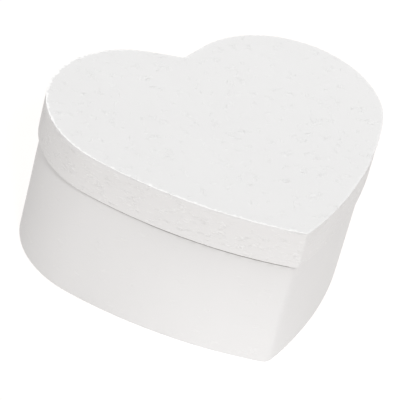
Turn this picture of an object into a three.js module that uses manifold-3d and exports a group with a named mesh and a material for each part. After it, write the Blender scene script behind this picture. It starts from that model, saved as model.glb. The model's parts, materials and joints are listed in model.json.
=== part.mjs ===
// Heart-shaped wind-up music box: a papier-mache box with a lift-off lid, and a spring-driven
// eighteen-note movement screwed to its raised floor, wound by a key in the recess underneath.
// Millimetres, +Z up. The origin is the centre of the box's footprint on the table; the heart's
// tip points to -Y and its cleft to +Y.

import * as THREE from "three";
import { mergeVertices } from "three/addons/utils/BufferGeometryUtils.js";
import Module from "manifold-3d";

const wasm = await Module();
wasm.setup();

const rad = THREE.MathUtils.degToRad;

// ---------------------------------------------------------------- driving dimensions

// The heart's outline, measured on the outside of the base's board.
const LOBE_X = 31.6; // a lobe's centre, from the centreline
const LOBE_R = 41.7;
const FLANK_R = 184.2; // the long, slightly bowed sides down to the tip
const FLANK_ANGLE = rad(-34); // where a lobe hands over to its flank
const CLEFT_ANGLE = rad(115.7); // where a lobe hands over to the straight run into the cleft
const LOBE_STEPS = 28;
const FLANK_STEPS = 9;

// The box: board, covering paper and the clearances between them.
const BOX_H = 71;
const WALL_T = 2;
const PAPER_T = 0.3;
const RIM_T = 0.8;
const LID_GAP = 0.3;
const LID_DEPTH = 18;
const LID_BOARD_T = 2;
const FLOOR_T = 2;
const FLOOR_Z = 18; // top of the raised floor
const LEDGE_T = 2;
const LEDGE_LIFT = 2; // the ledge stops short of the table
const GLUE_GAP = 0.2;

// The movement, in a frame of its own: x along the cylinder, y from the comb to the governor,
// z = 0 at the underside of the bedplate.
const MOVEMENT_Y = 8; // the bedplate's centre, from the middle of the box
const SEAT_GAP = 0.05; // between two metal parts that touch
const BED = { x: 54, y: 44, t: 2.5, corner: 4 };
const KEY_AXIS = { x: -12, y: 3 };
const DRUM_AXIS = { y: 3, z: 9.5 };
const DRUM = { r: 6.4, bore: 5.6, x0: 3.4, x1: 20 };
const PIN = { reach: 7.1, half: 0.17, root: 0.4, rows: 18, perRow: 5, x0: 4.2, pitch: 0.86 };
const PIN_SPREAD = { golden: 0.6180339887, rowJump: 7 }; // shares of a turn from pin to pin
const ARBOR_R = 1;
const DRUM_ARBOR = { x0: -2.4, x1: 25.2 };

// Gear pairs. The great wheel's crown teeth turn the cylinder, whose own gear turns the governor.
const CROWN = { teeth: 36, inner: 9.8, outer: 11.9, pitchR: 10.8, root: 5.3, tip: 6.4, width: 0.5 };
const DRUM_PINION = { teeth: 12, module: 0.6, x0: -2.1, x1: -0.3 };
const DRUM_GEAR = { teeth: 42, module: 0.35, x0: 20.4, x1: 21.8 };
const SMALL_PINION = { teeth: 8, module: 0.35, x0: 20.2, x1: 22 };
const WORM_WHEEL = { teeth: 24, module: 0.35, x0: 22.8, x1: 24.4 };
const WORM = { pitchR: 1.6, rootR: 1.15, tipR: 1.85, z0: -2.9, z1: 2.9 };
const THREAD = { width: 0.34, flare: 0.1, crest: 0.6, sunk: 0.3 };
const MESH_ANGLE = rad(10); // the small pinion lies this far above the cylinder's level

// Places that follow from the gears.
const CENTRE = ((DRUM_GEAR.teeth + SMALL_PINION.teeth) * DRUM_GEAR.module) / 2;
const SMALL_AXIS = {
  y: DRUM_AXIS.y + CENTRE * Math.cos(MESH_ANGLE),
  z: DRUM_AXIS.z + CENTRE * Math.sin(MESH_ANGLE),
};
const WORM_AXIS = {
  x: (WORM_WHEEL.x0 + WORM_WHEEL.x1) / 2,
  y: SMALL_AXIS.y + (WORM_WHEEL.teeth * WORM_WHEEL.module) / 2 + WORM.pitchR,
};

// Fasteners: head radius and height, shank radius.
const CASE_SCREW = { head: 2.1, headH: 1.4, shank: 1.1 };
const SMALL_SCREW = { head: 1.45, headH: 0.9, shank: 0.7 };
const WOOD_SCREW = { head: 2.6, headH: 1.5, shank: 1.2 };
const SCREW_PLAY = 0.15;
const SCREW_SIDES = 14;
const SLOT_W = 0.5;

// How a screw's head and point are shaped, as shares of its own sizes.
const SCREW_SHAPE = { shoulder: 0.65, chamfer: 0.82, slotFloor: 0.5, point: 0.6 };

// Half the width of a gear's tooth at its root and its tip, in units of its mean half width.
const TOOTH = { root: 1.45, tip: 0.55 };

// ---------------------------------------------------------------- materials

const finish = (color, roughness, metalness) =>
  new THREE.MeshStandardMaterial({ color, roughness, metalness });

const PAPER = finish(0xf1f0ee, 0.9, 0);
const BOARD = finish(0xe9e6e0, 0.95, 0);
const ZINC = finish(0xb9bcc0, 0.45, 0.9);
const STEEL = finish(0xc9ccd0, 0.3, 1);
const BRASS = finish(0xd0a94f, 0.35, 1);
const BLUED = finish(0x5c6472, 0.35, 1);
const NYLON = finish(0xe8e4d8, 0.6, 0);
const BRONZE = finish(0x9c6b3c, 0.4, 1);

// ---------------------------------------------------------------- solids

// A closed geometry as a manifold-3d solid.
function toSolid(geometry) {
  const bare = geometry.clone();
  bare.deleteAttribute("normal");
  bare.deleteAttribute("uv");
  const merged = mergeVertices(bare, 1e-4);
  return new wasm.Manifold(
    new wasm.Mesh({
      numProp: 3,
      vertProperties: merged.attributes.position.array,
      triVerts: new Uint32Array(merged.index.array),
    }),
  );
}

// A manifold-3d solid as a geometry.
function toGeometry(solid) {
  const mesh = solid.getMesh();
  const position = new THREE.BufferAttribute(new Float32Array(mesh.vertProperties), 3);
  const geometry = new THREE.BufferGeometry().setAttribute("position", position);
  return geometry.setIndex(new THREE.BufferAttribute(new Uint32Array(mesh.triVerts), 1));
}

const joined = (...parts) => toGeometry(parts.map(toSolid).reduce((a, b) => a.add(b)));

const cut = (base, ...tools) =>
  toGeometry(tools.map(toSolid).reduce((left, tool) => left.subtract(tool), toSolid(base)));

function block(x0, x1, y0, y1, z0, z1) {
  const g = new THREE.BoxGeometry(x1 - x0, y1 - y0, z1 - z0);
  return g.translate((x0 + x1) / 2, (y0 + y1) / 2, (z0 + z1) / 2);
}

// A round bar along Z.
function bar(r, z0, z1, x = 0, y = 0, sides = 20) {
  const g = new THREE.CylinderGeometry(r, r, z1 - z0, sides).rotateX(Math.PI / 2);
  return g.translate(x, y, (z0 + z1) / 2);
}

// A round bar along X, centred on (y, z).
function barX(r, x0, x1, y, z, sides = 20) {
  const g = new THREE.CylinderGeometry(r, r, x1 - x0, sides).rotateZ(Math.PI / 2);
  return g.translate((x0 + x1) / 2, y, z);
}

// A flat outline, with optional holes, raised from z0 to z1.
function plate(outline, z0, z1, ...holes) {
  const shape = new THREE.Shape(outline);
  shape.holes.push(...holes.map((points) => new THREE.Path(points)));
  const g = new THREE.ExtrudeGeometry(shape, { depth: z1 - z0, bevelEnabled: false });
  return g.translate(0, 0, z0);
}

// A plate drawn in (y, z) and raised along X.
function plateX(outline, x0, x1, ...holes) {
  return plate(outline, x0, x1, ...holes).applyMatrix4(
    new THREE.Matrix4().set(0, 0, 1, 0, 1, 0, 0, 0, 0, 1, 0, 0, 0, 0, 0, 1),
  );
}

function circle(r, x = 0, y = 0, sides = 20) {
  return Array.from({ length: sides }, (_, i) => {
    const a = (2 * Math.PI * i) / sides;
    return new THREE.Vector2(x + r * Math.cos(a), y + r * Math.sin(a));
  });
}

function roundedRectangle(width, depth, corner, steps = 4) {
  const points = [];
  for (const [sx, sy, start] of [[1, 1, 0], [-1, 1, 90], [-1, -1, 180], [1, -1, 270]])
    for (let i = 0; i <= steps; i++) {
      const a = rad(start + (90 * i) / steps);
      const x = sx * (width / 2 - corner) + corner * Math.cos(a);
      points.push(new THREE.Vector2(x, sy * (depth / 2 - corner) + corner * Math.sin(a)));
    }
  return points;
}

// A profile of [radius, height] turned about Z.
function turned(profile, sides) {
  const points = profile.map(([r, z]) => new THREE.Vector2(r, z));
  return new THREE.LatheGeometry(points, sides).rotateX(Math.PI / 2);
}

// A screw standing head up, with the underside of its head at the origin. Its head is chamfered
// and slotted, and its shank ends in a short point.
function screw({ head, headH, shank }, length) {
  const profile = [
    [0, -length - shank * SCREW_SHAPE.point],
    [shank, -length],
    [shank, 0],
    [head, 0],
    [head, headH * SCREW_SHAPE.shoulder],
    [head * SCREW_SHAPE.chamfer, headH],
    [0, headH],
  ];
  const slotZ = headH * SCREW_SHAPE.slotFloor;
  const slot = block(-head, head, -SLOT_W / 2, SLOT_W / 2, slotZ, headH + 1);
  return cut(turned(profile, SCREW_SIDES), slot);
}

// The clearance hole for a screw's shank, between two heights.
const screwHole = ({ shank }, [z0, z1], [x, y]) => bar(shank + SCREW_PLAY, z0, z1, x, y, 10);

// Straight-flanked teeth: each is wide at its root and narrow at its tip.
function gearOutline(teeth, module, { phase = 0, share = 0.34, addendum = 0.8, dedendum = 1 } = {}) {
  const pitchR = (teeth * module) / 2;
  const step = (2 * Math.PI) / teeth;
  const half = (step * share) / 2;
  const tipR = pitchR + addendum * module;
  const rootR = pitchR - dedendum * module;
  const tooth = [
    [rootR, -TOOTH.root],
    [tipR, -TOOTH.tip],
    [tipR, TOOTH.tip],
    [rootR, TOOTH.root],
  ];
  const points = [];
  for (let i = 0; i < teeth; i++)
    for (const [r, widths] of tooth) {
      const a = phase + i * step + widths * half;
      points.push(new THREE.Vector2(r * Math.cos(a), r * Math.sin(a)));
    }
  return points;
}

const moved = (points, x, y) => points.map((p) => new THREE.Vector2(p.x + x, p.y + y));

// ---------------------------------------------------------------- the heart's outline

// One side from the cleft to the tip, grown outwards by offset. Every stretch is parallel to the
// base's own, so the outlines of nested pieces follow each other.
function halfHeart(offset) {
  const r = LOBE_R + offset;
  const on = (a, radius, cx, cy) =>
    new THREE.Vector2(cx + radius * Math.cos(a), cy + radius * Math.sin(a));
  const start = on(CLEFT_ANGLE, r, LOBE_X, 0);
  const run = start.x / Math.sin(CLEFT_ANGLE);
  const points = [new THREE.Vector2(0, start.y + run * Math.cos(CLEFT_ANGLE))];
  for (let i = 0; i <= LOBE_STEPS; i++)
    points.push(on(THREE.MathUtils.lerp(CLEFT_ANGLE, FLANK_ANGLE, i / LOBE_STEPS), r, LOBE_X, 0));
  const centre = on(FLANK_ANGLE, LOBE_R - FLANK_R, LOBE_X, 0);
  const last = -Math.acos(-centre.x / (FLANK_R + offset));
  for (let i = 1; i <= FLANK_STEPS; i++) {
    const a = THREE.MathUtils.lerp(FLANK_ANGLE, last, i / FLANK_STEPS);
    points.push(on(a, FLANK_R + offset, centre.x, centre.y));
  }
  points[points.length - 1].x = 0;
  return points;
}

const LID_STEP = PAPER_T + LID_GAP + RIM_T + PAPER_T; // from the base's board to the lid's outside
const lidHalf = halfHeart(LID_STEP);
const HEART_Y = -(LOBE_R + LID_STEP + lidHalf.at(-1).y) / 2; // centres the lid on the origin

function heart(offset) {
  const right = halfHeart(offset);
  const left = right.slice(1, -1).reverse().map((p) => new THREE.Vector2(-p.x, p.y));
  return moved([...right, ...left].reverse(), 0, HEART_Y);
}

const heartRing = (outer, inner, z0, z1) => plate(heart(outer), z0, z1, heart(inner));

// ---------------------------------------------------------------- the box

const BOARD_Z = BOX_H - PAPER_T - LID_BOARD_T; // underside of the lid's board
const KEY_AT = { x: KEY_AXIS.x, y: KEY_AXIS.y + MOVEMENT_Y };
const KEY_HOLE_R = 5;
const FOOT_SCREWS = [[-24, -18.5], [24, -18.5], [-24, 18.5]];
const FOOT_HOLE_PLAY = 0.4;

const base = {
  base_wall: [heartRing(0, -WALL_T, 0, BOARD_Z - SEAT_GAP), BOARD],
  base_wrap: [heartRing(PAPER_T, 0, 0, BOARD_Z - SEAT_GAP), PAPER],
  base_floor: [
    plate(
      heart(-WALL_T - GLUE_GAP),
      FLOOR_Z - FLOOR_T,
      FLOOR_Z,
      circle(KEY_HOLE_R, KEY_AT.x, KEY_AT.y, 24),
      ...FOOT_SCREWS.map(([x, y]) =>
        circle(WOOD_SCREW.shank + FOOT_HOLE_PLAY, x, y + MOVEMENT_Y, 12),
      ),
    ),
    BOARD,
  ],
  floor_ledge: [
    heartRing(
      -WALL_T - GLUE_GAP,
      -WALL_T - GLUE_GAP - LEDGE_T,
      LEDGE_LIFT,
      FLOOR_Z - FLOOR_T - GLUE_GAP,
    ),
    BOARD,
  ],
};

const RIM_IN = PAPER_T + LID_GAP;
const lid = {
  lid_rim: [heartRing(RIM_IN + RIM_T, RIM_IN, BOX_H - LID_DEPTH, BOX_H - PAPER_T), BOARD],
  lid_rim_wrap: [
    heartRing(LID_STEP, RIM_IN + RIM_T, BOX_H - LID_DEPTH, BOX_H - PAPER_T - SEAT_GAP),
    PAPER,
  ],
  lid_board: [plate(heart(RIM_IN - GLUE_GAP), BOARD_Z, BOX_H - PAPER_T - SEAT_GAP), BOARD],
  lid_top_sheet: [plate(heart(LID_STEP), BOX_H - PAPER_T, BOX_H), PAPER],
};

// ---------------------------------------------------------------- the bedplate

const BUSH = { r: 3.2, z0: -0.6, z1: 2.7, play: 0.2 };
const DRUM_BUSH = { r: 1.85, seat: 2, x0: 22.4, x1: 24.9 };
const WINDOW = { x: 12.65, width: 19.3, depth: 15.8, corner: 1.5 }; // under the cylinder
const PILLAR_TOP = 12.6;
const PILLAR_HALF = 2.6;
const RIGHT_PILLAR = { x0: 22.6, x1: 24.6 };
const LEFT_PILLAR = { x0: 0.6, x1: 2.4 };
const RAIL = { x0: 1.4, x1: 21.6, y0: -21, y1: -13.5, top: 9 };
const COMB_SCREWS = [[5, -18.4], [18, -18.4]];
const LEG_R = 2.4;
const LEGS = [rad(110), rad(250)].map((a) => [
  KEY_AXIS.x + 14.8 * Math.cos(a),
  KEY_AXIS.y + 14.8 * Math.sin(a),
]);
const STOP_POST = { x: 12.5, y: 18.5, r: 1.7, top: 16.8 };
const GOVERNOR_SCREWS = [[20.7, 14.6], [20.7, 19.8]];
const BOSS = { r: 2.8, top: 5.2 };
const DRILL = { comb: [3, 10], bed: [-1, 3], foot: [-1, 4.6], post: [12.5, 17] }; // heights

function bedplate() {
  const opening = roundedRectangle(WINDOW.width, WINDOW.depth, WINDOW.corner, 2);
  const [south, north] = [DRUM_AXIS.y - PILLAR_HALF, DRUM_AXIS.y + PILLAR_HALF];
  const plateBody = plate(
    roundedRectangle(BED.x, BED.y, BED.corner),
    0,
    BED.t,
    moved(opening, WINDOW.x, DRUM_AXIS.y),
    circle(BUSH.r + SEAT_GAP, KEY_AXIS.x, KEY_AXIS.y, 24),
  );
  const raised = [
    block(LEFT_PILLAR.x0, LEFT_PILLAR.x1, south, north, 0, PILLAR_TOP),
    block(RIGHT_PILLAR.x0, RIGHT_PILLAR.x1, south, north, 0, PILLAR_TOP),
    block(RAIL.x0, RAIL.x1, RAIL.y0, RAIL.y1, 0, RAIL.top),
    bar(STOP_POST.r, 0, STOP_POST.top, STOP_POST.x, STOP_POST.y, 14),
    ...FOOT_SCREWS.map(([x, y]) => bar(BOSS.r, 0, BOSS.top, x, y, 14)),
  ];
  const holes = [
    barX(ARBOR_R + SCREW_PLAY, 0, 3, DRUM_AXIS.y, DRUM_AXIS.z, 12),
    barX(DRUM_BUSH.seat, 22, 25, DRUM_AXIS.y, DRUM_AXIS.z, 14),
    ...COMB_SCREWS.map((at) => screwHole(CASE_SCREW, DRILL.comb, at)),
    ...LEGS.map((at) => screwHole(CASE_SCREW, DRILL.bed, at)),
    ...GOVERNOR_SCREWS.map((at) => screwHole(SMALL_SCREW, DRILL.bed, at)),
    ...FOOT_SCREWS.map((at) => screwHole(WOOD_SCREW, DRILL.foot, at)),
    screwHole(SMALL_SCREW, DRILL.post, [STOP_POST.x, STOP_POST.y]),
  ];
  return cut(joined(plateBody, ...raised), joined(...holes));
}

// ---------------------------------------------------------------- winding and mainspring

const ARBOR = { r: 1.9, thick: 2.3, z0: -13.5, shoulder: 7.3, z1: 18.9 };
const KEY = { hub: 3.4, z0: -14.2, z1: -3.4, t: 1.8 };
const WING = { x: 7.6, r: 4.9, z: -9.6, web: 2.6, eyeR: 2, eyeOut: 0.4 };
const WHEEL = { z0: 3.6, hubR: 3.6, hubZ0: 2.9, hubZ1: 7, toothRoot: 0.3, toothInset: 0.15 };
const HOUSING = { r: 9.3, inner: 8.4, z0: 7.2, z1: 20.2, roof: 1.3, earT: 1.8, armHalf: 1.9 };
const CROWN_EDGE = { fillet: 1.5, steps: 5, rim: 1.1, dish: 0.4 }; // the housing's rounded roof
const SPRING = { inner: 2.9, pitch: 0.92, turns: 5.5, t: 0.34, z0: 8.2, z1: 18.2, steps: 16 };

function windingKey() {
  const wing = (side) => {
    const disc = bar(WING.r, -KEY.t / 2, KEY.t / 2, 0, 0, 28).rotateX(Math.PI / 2);
    return disc.translate(side * WING.x, 0, WING.z);
  };
  const eye = (side) => {
    const hole = bar(WING.eyeR, -KEY.t, KEY.t, 0, 0, 18).rotateX(Math.PI / 2);
    return hole.translate(side * (WING.x + WING.eyeOut), 0, WING.z);
  };
  const [low, high] = [WING.z - WING.web, WING.z + WING.web];
  const web = block(-WING.x, WING.x, -KEY.t / 2, KEY.t / 2, low, high);
  const blank = joined(bar(KEY.hub, KEY.z0, KEY.z1, 0, 0, 28), web, wing(-1), wing(1));
  return cut(blank, bar(ARBOR.r + SEAT_GAP, ARBOR.z0 - SEAT_GAP, 0, 0, 0, 16), eye(-1), eye(1));
}

// The wheel that the spring drives: a disc with a ring of teeth standing on its upper face.
// A gap between two teeth faces +X, towards the cylinder's pinion.
function greatWheel() {
  const teeth = Array.from({ length: CROWN.teeth }, (_, i) => {
    const half = CROWN.width / 2;
    const [from, to] = [CROWN.inner, CROWN.outer - WHEEL.toothInset];
    const tooth = block(from, to, -half, half, CROWN.root - WHEEL.toothRoot, CROWN.tip);
    return tooth.rotateZ(((i + 0.5) * 2 * Math.PI) / CROWN.teeth);
  });
  const bore = circle(ARBOR.r + SEAT_GAP);
  const disc = plate(circle(CROWN.outer, 0, 0, 60), WHEEL.z0, CROWN.root, bore);
  return joined(disc, plate(circle(WHEEL.hubR), WHEEL.hubZ0, WHEEL.hubZ1, bore), ...teeth);
}

// A strip wound in an even spiral.
function mainspring() {
  const n = SPRING.turns * SPRING.steps;
  const edge = (extra) =>
    Array.from({ length: n + 1 }, (_, i) => {
      const a = (2 * Math.PI * i) / SPRING.steps;
      const r = SPRING.inner + (SPRING.pitch * i) / SPRING.steps + extra;
      return new THREE.Vector2(r * Math.cos(a), r * Math.sin(a));
    });
  return plate([...edge(SPRING.t), ...edge(0).reverse()], SPRING.z0, SPRING.z1);
}

// The cup's outside: upright, rounded over its upper edge, with a shallow dish in the roof.
function cupProfile() {
  const { fillet, steps, rim, dish } = CROWN_EDGE;
  const edge = Array.from({ length: steps + 1 }, (_, i) => {
    const a = (i / steps) * (Math.PI / 2);
    return [HOUSING.r - fillet * (1 - Math.cos(a)), HOUSING.z1 - fillet * (1 - Math.sin(a))];
  });
  const dishR = HOUSING.r - fillet - rim;
  const roof = [[dishR, HOUSING.z1], [dishR - dish, HOUSING.z1 - dish], [0, HOUSING.z1 - dish]];
  return [[0, HOUSING.z0], [HOUSING.r, HOUSING.z0], ...edge, ...roof];
}

// A cup over the spring, carried by two legs that stand outside the great wheel.
function springHousing() {
  const cup = cut(
    turned(cupProfile(), 48),
    bar(HOUSING.inner, HOUSING.z0 - 1, HOUSING.z1 - HOUSING.roof, 0, 0, 48),
  );
  const legs = LEGS.flatMap(([x, y]) => {
    const [dx, dy] = [x - KEY_AXIS.x, y - KEY_AXIS.y];
    const reach = Math.hypot(dx, dy);
    const top = HOUSING.z0 + HOUSING.earT;
    const arm = block(HOUSING.inner + 0.3, reach, -HOUSING.armHalf, HOUSING.armHalf, HOUSING.z0, top);
    arm.rotateZ(Math.atan2(dy, dx));
    return [arm, bar(LEG_R, BED.t + SEAT_GAP, top, dx, dy, 16)];
  });
  const holes = LEGS.map(([x, y]) =>
    screwHole(CASE_SCREW, [0, HOUSING.z1], [x - KEY_AXIS.x, y - KEY_AXIS.y]),
  );
  return cut(joined(cup, ...legs), joined(...holes));
}

const bush = () => plate(circle(BUSH.r, 0, 0, 24), BUSH.z0, BUSH.z1, circle(ARBOR.r + BUSH.play));

// ---------------------------------------------------------------- cylinder and comb

// A brass tube set with pins. Each row plays one tine; the pins of a row are spread by a golden
// step, so that the tune is nobody's.
function cylinder() {
  const tube = plateX(circle(DRUM.r, 0, 0, 48), DRUM.x0, DRUM.x1, circle(DRUM.bore, 0, 0, 24));
  const pins = [];
  for (let row = 0; row < PIN.rows; row++)
    for (let i = 0; i < PIN.perRow; i++) {
      const turn = ((row * PIN_SPREAD.rowJump + i * PIN.rows) * PIN_SPREAD.golden) % 1;
      const x = PIN.x0 + row * PIN.pitch;
      const [low, high] = [DRUM.r - PIN.root, PIN.reach];
      const pin = block(x - PIN.half, x + PIN.half, low, high, -PIN.half, PIN.half);
      pins.push(pin.rotateX(2 * Math.PI * turn));
    }
  return joined(tube, ...pins);
}

const PLUG = { play: 0.1, inset: 0.3, t: 1.2 };

const plug = (x0) =>
  plateX(circle(DRUM.bore - PLUG.play, 0, 0, 24), x0, x0 + PLUG.t, circle(ARBOR_R + SEAT_GAP));

const TIP_CLEARANCE = 0.35; // from the tines' tips to the pins
const COMB = {
  t: 1,
  tip: DRUM_AXIS.y - PIN.reach - TIP_CLEARANCE,
  x0: RAIL.x0 + 0.3,
  x1: RAIL.x1 - 0.3,
  tine: 0.62,
  taper: 0.8,
  bassRoot: -15.6,
  trebleRoot: -12,
};
const LEAD = { tines: 8, width: 0.56, length: 3.4, depth: 1.5, setback: 0.9 };

// Eighteen tines of falling length on one steel plate. The bass tines carry lead under their
// tips, shorter from tine to tine.
function comb() {
  const outline = [new THREE.Vector2(COMB.x0, RAIL.y0), new THREE.Vector2(COMB.x1, RAIL.y0)];
  const last = PIN.rows - 1;
  const rootAt = (row) => THREE.MathUtils.lerp(COMB.bassRoot, COMB.trebleRoot, row / last);
  outline.push(new THREE.Vector2(COMB.x1, COMB.trebleRoot));
  for (let row = last; row >= 0; row--) {
    const x = PIN.x0 + row * PIN.pitch;
    const half = COMB.tine / 2;
    outline.push(new THREE.Vector2(x + half, rootAt(row)));
    outline.push(new THREE.Vector2(x + half * COMB.taper, COMB.tip));
    outline.push(new THREE.Vector2(x - half * COMB.taper, COMB.tip));
    outline.push(new THREE.Vector2(x - half, rootAt(row)));
  }
  outline.push(new THREE.Vector2(COMB.x0, COMB.bassRoot));
  const holes = COMB_SCREWS.map(([x, y]) => circle(CASE_SCREW.shank + SCREW_PLAY, x, y, 10));
  const bottom = RAIL.top + SEAT_GAP;
  const leads = Array.from({ length: LEAD.tines }, (_, row) => {
    const x = PIN.x0 + row * PIN.pitch;
    const y = COMB.tip - LEAD.setback;
    const length = LEAD.length * (1 - row / (LEAD.tines + 2));
    const half = LEAD.width / 2;
    return block(x - half, x + half, y - length, y, bottom - LEAD.depth, bottom + 0.2);
  });
  return joined(plate(outline, bottom, bottom + COMB.t, ...holes), ...leads);
}

const drumPinion = () =>
  plateX(
    gearOutline(DRUM_PINION.teeth, DRUM_PINION.module, { phase: -Math.PI / 2, share: 0.3 }),
    DRUM_PINION.x0,
    DRUM_PINION.x1,
    circle(ARBOR_R + SEAT_GAP),
  );

const drumGear = () =>
  plateX(
    gearOutline(DRUM_GEAR.teeth, DRUM_GEAR.module, { phase: MESH_ANGLE }),
    DRUM_GEAR.x0,
    DRUM_GEAR.x1,
    circle(ARBOR_R + SEAT_GAP),
  );

// ---------------------------------------------------------------- governor

const FRAME = { x0: 18.9, x1: 26.2, y0: 10.4, y1: 21.4, z0: 2.55, foot: 1.35, top: 19.8 };
const CHEEK = { left: 0.8, right: 1, y1: 12.9 };
const ROOF = { t: 1.2, y1: 20 };
const SMALL_SHAFT = { r: 0.6, bore: 0.75, end: 0.3 };
const WORM_SHAFT = { r: 0.65, bore: 0.85, z0: 3.1, end: 1 };
const WHEEL_BORE = 0.65;
const FAN = { z0: 16.2, z1: 19, r: 4, t: 0.5, hub: 1.4 };
const CAP = { x0: 19.4, x1: 25.4, y: WORM_AXIS.y, half: 1.8, z0: FRAME.top + 1.25, t: 0.6, screwX: 20.9 };

// A folded strip that carries both governor arbors.
function governorFrame() {
  const roof = FRAME.top + ROOF.t;
  const solid = joined(
    block(FRAME.x0, FRAME.x1, FRAME.y0, FRAME.y1, FRAME.z0, FRAME.z0 + FRAME.foot),
    block(FRAME.x0, FRAME.x0 + CHEEK.left, FRAME.y0, CHEEK.y1, FRAME.z0, roof),
    block(FRAME.x1 - CHEEK.right, FRAME.x1, FRAME.y0, CHEEK.y1, FRAME.z0, roof),
    block(FRAME.x0, FRAME.x1, FRAME.y0, ROOF.y1, FRAME.top, roof),
  );
  const holes = [
    barX(SMALL_SHAFT.bore, FRAME.x0 - 1, FRAME.x1 + 1, SMALL_AXIS.y, SMALL_AXIS.z, 10),
    bar(WORM_SHAFT.bore, 3, roof + 1, WORM_AXIS.x, WORM_AXIS.y, 12),
    screwHole(SMALL_SCREW, [FRAME.top - 1, roof + 1], [CAP.screwX, CAP.y]),
    ...GOVERNOR_SCREWS.map((at) => screwHole(SMALL_SCREW, [0, 6], at)),
  ];
  return cut(solid, joined(...holes));
}

// The small pinion and its arbor. A gap between teeth faces the cylinder's gear.
function smallPinion() {
  const step = Math.PI / SMALL_PINION.teeth;
  const { teeth, module, x0, x1 } = SMALL_PINION;
  const outline = gearOutline(teeth, module, { phase: MESH_ANGLE + Math.PI + step, share: 0.3 });
  const { r, end } = SMALL_SHAFT;
  return joined(plateX(outline, x0, x1), barX(r, FRAME.x0 - end, FRAME.x1 + end, 0, 0, 10));
}

// A tooth of the wheel points at the worm, between two turns of its thread.
const wormWheel = () =>
  plateX(
    gearOutline(WORM_WHEEL.teeth, WORM_WHEEL.module, { share: 0.3, addendum: 0.7 }),
    WORM_WHEEL.x0,
    WORM_WHEEL.x1,
    circle(WHEEL_BORE, 0, 0, 10),
  );

// A right-hand ridge wound round a core. The ridge crosses the wheel's side half a pitch above
// and below the wheel's centre, so a wheel tooth fits between two turns.
function wormShaft() {
  const pitch = Math.PI * WORM_WHEEL.module;
  const steps = 14;
  const turns = Math.floor((WORM.z1 - WORM.z0) / pitch) - 1;
  const n = turns * steps;
  const half = THREAD.width / 2;
  const [foot, tip] = [half + THREAD.flare, half * THREAD.crest];
  const section = [
    [WORM.rootR - THREAD.sunk, -foot],
    [WORM.tipR, -tip],
    [WORM.tipR, tip],
    [WORM.rootR - THREAD.sunk, foot],
  ];
  const position = [];
  const index = [];
  for (let i = 0; i <= n; i++) {
    const turn = i / steps - turns / 2;
    const a = 2 * Math.PI * turn + (turns % 2 ? 0 : Math.PI) - Math.PI / 2;
    for (const [r, dz] of section)
      position.push(r * Math.cos(a), r * Math.sin(a), turn * pitch + dz);
    if (i < n)
      for (let k = 0; k < 4; k++) {
        const [p, q] = [4 * i + k, 4 * i + ((k + 1) % 4)];
        index.push(p, p + 4, q, q, p + 4, q + 4);
      }
  }
  const end = 4 * n;
  index.push(0, 1, 2, 0, 2, 3, end, end + 2, end + 1, end, end + 3, end + 2);
  const ridge = new THREE.BufferGeometry();
  ridge.setAttribute("position", new THREE.Float32BufferAttribute(position, 3)).setIndex(index);
  const core = bar(WORM.rootR, WORM.z0, WORM.z1, 0, 0, 14);
  const top = FRAME.top + WORM_SHAFT.end;
  const shaft = bar(WORM_SHAFT.r, WORM_SHAFT.z0 - SMALL_AXIS.z, top - SMALL_AXIS.z, 0, 0, 10);
  return joined(core, shaft, ridge);
}

// Two upright blades on a hub: the air brake.
function fan() {
  const blades = block(-FAN.r, FAN.r, -FAN.t / 2, FAN.t / 2, FAN.z0, FAN.z1);
  const body = joined(bar(FAN.hub, FAN.z0, FAN.z1, 0, 0, 12), blades);
  return cut(body, bar(WORM_SHAFT.r + SEAT_GAP, FAN.z0 - 1, FAN.z1 + 1, 0, 0, 10));
}

const endCap = () =>
  cut(
    block(CAP.x0, CAP.x1, CAP.y - CAP.half, CAP.y + CAP.half, CAP.z0, CAP.z0 + CAP.t),
    screwHole(SMALL_SCREW, [CAP.z0 - 1, CAP.z0 + 2], [CAP.screwX, CAP.y]),
  );

// ---------------------------------------------------------------- stop lever

const LEVER = { z0: 16.85, t: 1.1, hub: 2.3, arm: 0.8, tail: 11.5, fanGap: 0.35, play: 0.2 };
const TAB = { x0: -12.5, x1: -11.3, half: 2.2, rise: 5 };

// A flat lever whose finger blocks the fan; its tail ends in an upright finger tab. The tip stands
// just outside the fan's sweep.
function stopLever() {
  const tip = { x: WORM_AXIS.x - FAN.r - LEVER.fanGap - STOP_POST.x, y: WORM_AXIS.y - STOP_POST.y };
  const finger = Math.hypot(tip.x, tip.y);
  const [z0, z1] = [LEVER.z0, LEVER.z0 + LEVER.t];
  const arm = block(0, finger, -LEVER.arm, LEVER.arm, z0, z1).rotateZ(Math.atan2(tip.y, tip.x));
  const tail = block(-LEVER.tail, 0, -LEVER.arm, LEVER.arm, z0, z1);
  const tab = block(TAB.x0, TAB.x1, -TAB.half, TAB.half, z0, z1 + TAB.rise);
  const hub = bar(LEVER.hub, z0, z1, 0, 0, 16);
  const hole = bar(SMALL_SCREW.shank + LEVER.play, z0 - 1, z1 + 1, 0, 0, 10);
  return cut(joined(hub, arm, tail, tab), hole);
}

// ---------------------------------------------------------------- assembly

const root = new THREE.Group();

function place(parent, name, [geometry, material], x = 0, y = 0, z = 0) {
  const mesh = new THREE.Mesh(geometry, material);
  mesh.name = name;
  mesh.position.set(x, y, z);
  parent.add(mesh);
}

for (const [name, piece] of Object.entries({ ...base, ...lid })) place(root, name, piece);

const movement = new THREE.Group();
movement.position.set(0, MOVEMENT_Y, FLOOR_Z + SEAT_GAP);
root.add(movement);

place(movement, "bedplate", [bedplate(), ZINC]);

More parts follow.
